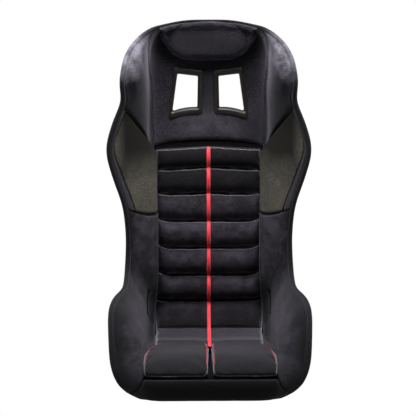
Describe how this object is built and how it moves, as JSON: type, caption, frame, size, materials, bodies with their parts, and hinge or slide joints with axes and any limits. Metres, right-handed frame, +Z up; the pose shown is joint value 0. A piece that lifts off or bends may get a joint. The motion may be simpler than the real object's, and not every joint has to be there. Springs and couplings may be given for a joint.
{
  "type": "racing seat",
  "caption": "Fixed-back bucket racing seat: moulded shell with head and hip wings, belt slots, padded velour covers and loose cushions with a coloured centre stripe.",
  "frame": {"origin": "middle of the flat underside of the shell, which the seat rests on", "axes": "+X to the right as seen from the front, +Y to the back, +Z up"},
  "size_m": [0.5798, 0.6818, 0.9103],
  "materials": {
    "shell_gelcoat": "black gelcoat over glass fibre, glossy",
    "edge_velour": "black velour wrapped tightly round the moulded edge",
    "lining_fabric": "thin black lining",
    "velour": "black velour with a soft purple-grey sheen",
    "grip_fabric": "coarse grip fabric, dark olive grey",
    "cushion_fabric": "padded black velour",
    "stripe_fabric": "red woven tape",
    "slot_plastic": "matte black moulding",
    "edging_rubber": "black rubber edging",
    "insert_steel": "zinc-plated steel",
    "hook_tape": "black hook-and-loop tape"
  },
  "bodies": {
    "root": {"shell": "shell_gelcoat", "rim_trim": "edge_velour", "lining": "lining_fabric", "front_lip_cover": "velour", "hip_bolster_left": "velour", "hip_bolster_right": "velour", "waist_bolster_left": "velour", "waist_bolster_right": "velour", "shoulder_panel_left": "grip_fabric", "shoulder_panel_right": "grip_fabric", "shoulder_band_left": "velour", "shoulder_band_right": "velour", "upper_back_cover": "velour", "head_wing_pad_left": "velour", "head_wing_pad_right": "velour", "head_cushion": "cushion_fabric", "back_cushion": "cushion_fabric", "seat_cushion": "cushion_fabric", "leg_cushion_left": "cushion_fabric", "leg_cushion_right": "cushion_fabric", "back_stripe": "stripe_fabric", "seat_stripe": "stripe_fabric", "harness_surround_left": "slot_plastic", "harness_surround_right": "slot_plastic", "harness_rear_frame_left": "slot_plastic", "harness_rear_frame_right": "slot_plastic", "lap_slot_edging_left": "edging_rubber", "lap_slot_edging_right": "edging_rubber", "crotch_slot_edging": "edging_rubber", "threaded_inserts_left": "insert_steel", "threaded_inserts_right": "insert_steel", "hook_tape_strips": "hook_tape"}
  },
  "joints": []
}
